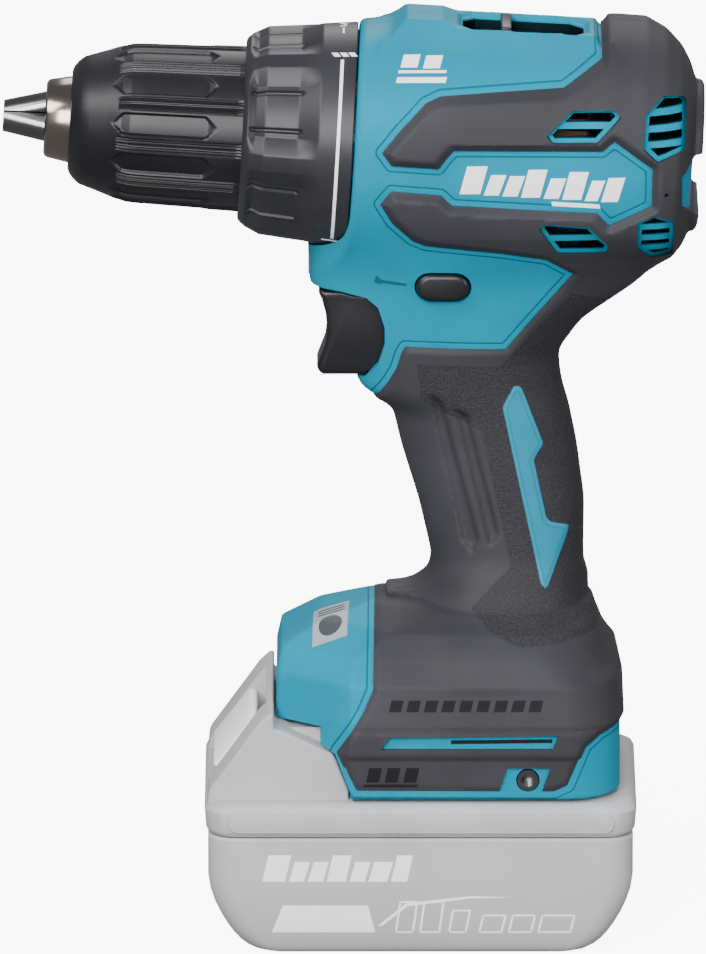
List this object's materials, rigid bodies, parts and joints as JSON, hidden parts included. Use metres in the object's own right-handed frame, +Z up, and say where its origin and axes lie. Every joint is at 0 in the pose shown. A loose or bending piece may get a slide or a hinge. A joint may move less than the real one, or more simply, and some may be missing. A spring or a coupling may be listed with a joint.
{
  "type": "cordless drill",
  "caption": "Pistol-grip cordless drill driver with keyless chuck, torque ring, trigger, direction and speed controls, standing on its slide-on battery.",
  "frame": {"origin": "centre of the battery's flat base", "axes": "+Z up; the nose points toward -X and rises 3.3 degrees; -Y is the drill's left side"},
  "size_m": [0.1841, 0.076, 0.2481],
  "materials": {
    "teal_plastic": "satin moulded",
    "soft_rubber": "matte, finely grained",
    "black_plastic": "satin moulded",
    "steel": "ground",
    "bright_steel": "polished",
    "aluminium": "cast",
    "winding": "varnished copper on laminated steel",
    "circuit_board": "solder mask",
    "clear_lens": "clear",
    "grey_plastic": "satin moulded",
    "cell_wrap": "shrink wrap"
  },
  "bodies": {
    "housing": {"housing_left": "teal_plastic", "housing_right": "teal_plastic", "soft_grip_left": "soft_rubber", "soft_grip_right": "soft_rubber", "gear_case": "aluminium", "motor_plate": "aluminium", "ring_gear_1": "steel", "ring_gear_3": "steel", "spindle_bearing": "steel", "thrust_plate": "steel", "clutch_spring": "steel", "stator": "winding", "sensor_board": "circuit_board", "rear_bearing": "steel", "switch_module": "black_plastic", "trigger_spring": "steel", "lamp": "clear_lens", "controller_board": "circuit_board", "terminal_block": "black_plastic", "hook_insert_left": "steel", "hook_insert_right": "steel", "housing_screw_1": "steel", "housing_screw_2": "steel", "housing_screw_3": "steel", "housing_screw_4": "steel"},
    "chuck": {"chuck_body": "bright_steel", "spindle": "steel"},
    "sleeve": {"chuck_sleeve": "black_plastic", "chuck_nut": "steel"},
    "jaw_a": {"jaw_1": "steel"},
    "jaw_b": {"jaw_2": "steel"},
    "jaw_c": {"jaw_3": "steel"},
    "torque_collar": {"torque_ring": "black_plastic"},
    "clutch_nut": {"spring_nut": "steel"},
    "rotor": {"rotor": "steel", "fan": "black_plastic"},
    "carrier_first": {"carrier_1": "steel"},
    "carrier_second": {"carrier_2": "steel"},
    "trigger": {"trigger": "black_plastic"},
    "reverse": {"reverse_lever": "black_plastic"},
    "gear_shift": {"speed_selector": "black_plastic", "ring_gear_2": "steel"},
    "battery": {"battery_lower_case": "grey_plastic", "battery_upper_case": "grey_plastic", "cell_pair_1": "cell_wrap", "cell_pair_2": "cell_wrap", "cell_pair_3": "cell_wrap", "cell_pair_4": "cell_wrap", "cell_pair_5": "cell_wrap"},
    "release": {"release_button": "grey_plastic"},
    "planet_1_1": {"planet_1_1": "steel"},
    "planet_1_2": {"planet_1_2": "steel"},
    "planet_1_3": {"planet_1_3": "steel"},
    "planet_2_1": {"planet_2_1": "steel"},
    "planet_2_2": {"planet_2_2": "steel"},
    "planet_2_3": {"planet_2_3": "steel"},
    "planet_3_1": {"planet_3_1": "steel"},
    "planet_3_2": {"planet_3_2": "steel"},
    "planet_3_3": {"planet_3_3": "steel"}
  },
  "joints": [
    {"name": "rotor_spin", "type": "hinge", "parent": "housing", "child": "rotor", "pos_m": [0, 0, 0.2134], "axis": [0.9983, 0, -0.0576], "continuous": true},
    {"name": "carrier_1_spin", "type": "hinge", "parent": "housing", "child": "carrier_first", "pos_m": [0, 0, 0.2134], "axis": [0.9983, 0, -0.0576], "continuous": true},
    {"name": "carrier_2_spin", "type": "hinge", "parent": "housing", "child": "carrier_second", "pos_m": [0, 0, 0.2134], "axis": [0.9983, 0, -0.0576], "continuous": true},
    {"name": "chuck_spin", "type": "hinge", "parent": "housing", "child": "chuck", "pos_m": [0, 0, 0.2134], "axis": [0.9983, 0, -0.0576], "continuous": true},
    {"name": "planet_1_1_spin", "type": "hinge", "parent": "carrier_first", "child": "planet_1_1", "pos_m": [0.01318, 0, 0.22481], "axis": [0.9983, 0, -0.0576], "continuous": true},
    {"name": "planet_1_2_spin", "type": "hinge", "parent": "carrier_first", "child": "planet_1_2", "pos_m": [0.01213, -0.01052, 0.20662], "axis": [0.9983, 0, -0.0576], "continuous": true},
    {"name": "planet_1_3_spin", "type": "hinge", "parent": "carrier_first", "child": "planet_1_3", "pos_m": [0.01213, 0.01052, 0.20662], "axis": [0.9983, 0, -0.0576], "continuous": true},
    {"name": "planet_2_1_spin", "type": "hinge", "parent": "carrier_second", "child": "planet_2_1", "pos_m": [-0.0004, 0, 0.22559], "axis": [0.9983, 0, -0.0576], "continuous": true},
    {"name": "planet_2_2_spin", "type": "hinge", "parent": "carrier_second", "child": "planet_2_2", "pos_m": [-0.00145, -0.01052, 0.2074], "axis": [0.9983, 0, -0.0576], "continuous": true},
    {"name": "planet_2_3_spin", "type": "hinge", "parent": "carrier_second", "child": "planet_2_3", "pos_m": [-0.00145, 0.01052, 0.2074], "axis": [0.9983, 0, -0.0576], "continuous": true},
    {"name": "planet_3_1_spin", "type": "hinge", "parent": "chuck", "child": "planet_3_1", "pos_m": [-0.00938, 0, 0.22611], "axis": [0.9983, 0, -0.0576], "continuous": true},
    {"name": "planet_3_2_spin", "type": "hinge", "parent": "chuck", "child": "planet_3_2", "pos_m": [-0.01043, -0.01052, 0.20792], "axis": [0.9983, 0, -0.0576], "continuous": true},
    {"name": "planet_3_3_spin", "type": "hinge", "parent": "chuck", "child": "planet_3_3", "pos_m": [-0.01043, 0.01052, 0.20792], "axis": [0.9983, 0, -0.0576], "continuous": true},
    {"name": "sleeve_turn", "type": "hinge", "parent": "chuck", "child": "sleeve", "pos_m": [0, 0, 0.2134], "axis": [0.9983, 0, -0.0576], "range_deg": [0, 1440]},
    {"name": "jaw_1_slide", "type": "slide", "parent": "chuck", "child": "jaw_a", "axis": [0.9792, 0, 0.2028], "range_m": [0, 0.024]},
    {"name": "jaw_2_slide", "type": "slide", "parent": "chuck", "child": "jaw_b", "axis": [0.9569, -0.2241, -0.1848], "range_m": [0, 0.024]},
    {"name": "jaw_3_slide", "type": "slide", "parent": "chuck", "child": "jaw_c", "axis": [0.9569, 0.2241, -0.1848], "range_m": [0, 0.024]},
    {"name": "torque_setting", "type": "hinge", "parent": "housing", "child": "torque_collar", "pos_m": [0, 0, 0.2134], "axis": [0.9983, 0, -0.0576], "range_deg": [-45, 193]},
    {"name": "clutch_nut_slide", "type": "slide", "parent": "housing", "child": "clutch_nut", "axis": [0.9983, 0, -0.0576], "range_m": [-0.0008, 0.0033], "deforming": ["clutch_spring"]},
    {"name": "trigger_pull", "type": "slide", "parent": "housing", "child": "trigger", "axis": [1, 0, 0], "range_m": [0, 0.006], "stiffness_N_per_m": 600, "springref_m": -0.003, "deforming": ["trigger_spring"]},
    {"name": "reverse_slide", "type": "slide", "parent": "housing", "child": "reverse", "axis": [0, 1, 0], "range_m": [-0.003, 0.003]},
    {"name": "speed_select", "type": "slide", "parent": "housing", "child": "gear_shift", "axis": [0.9983, 0, -0.0576], "range_m": [0, 0.007]},
    {"name": "battery_slide", "type": "slide", "parent": "housing", "child": "battery", "axis": [-1, 0, 0], "range_m": [0, 0.07]},
    {"name": "release_press", "type": "slide", "parent": "battery", "child": "release", "axis": [0, 0, -1], "range_m": [0, 0.0035], "stiffness_N_per_m": 900, "springref_m": -0.002}
  ],
  "couplings": [
    {"joint": "carrier_1_spin", "follows": "rotor_spin", "ratio": 0.27778},
    {"joint": "carrier_2_spin", "follows": "rotor_spin", "ratio": 0.07716},
    {"joint": "chuck_spin", "follows": "rotor_spin", "ratio": 0.021433},
    {"joint": "planet_1_1_spin", "follows": "rotor_spin", "ratio": -0.90278},
    {"joint": "planet_1_2_spin", "follows": "rotor_spin", "ratio": -0.90278},
    {"joint": "planet_1_3_spin", "follows": "rotor_spin", "ratio": -0.90278},
    {"joint": "planet_2_1_spin", "follows": "rotor_spin", "ratio": -0.25077},
    {"joint": "planet_2_2_spin", "follows": "rotor_spin", "ratio": -0.25077},
    {"joint": "planet_2_3_spin", "follows": "rotor_spin", "ratio": -0.25077},
    {"joint": "planet_3_1_spin", "follows": "rotor_spin", "ratio": -0.069659},
    {"joint": "planet_3_2_spin", "follows": "rotor_spin", "ratio": -0.069659},
    {"joint": "planet_3_3_spin", "follows": "rotor_spin", "ratio": -0.069659},
    {"joint": "jaw_1_slide", "follows": "sleeve_turn", "m_per_rad": 0.00095493},
    {"joint": "jaw_2_slide", "follows": "sleeve_turn", "m_per_rad": 0.00095493},
    {"joint": "jaw_3_slide", "follows": "sleeve_turn", "m_per_rad": 0.00095493},
    {"joint": "clutch_nut_slide", "follows": "torque_setting", "m_per_rad": 0.00095}
  ]
}
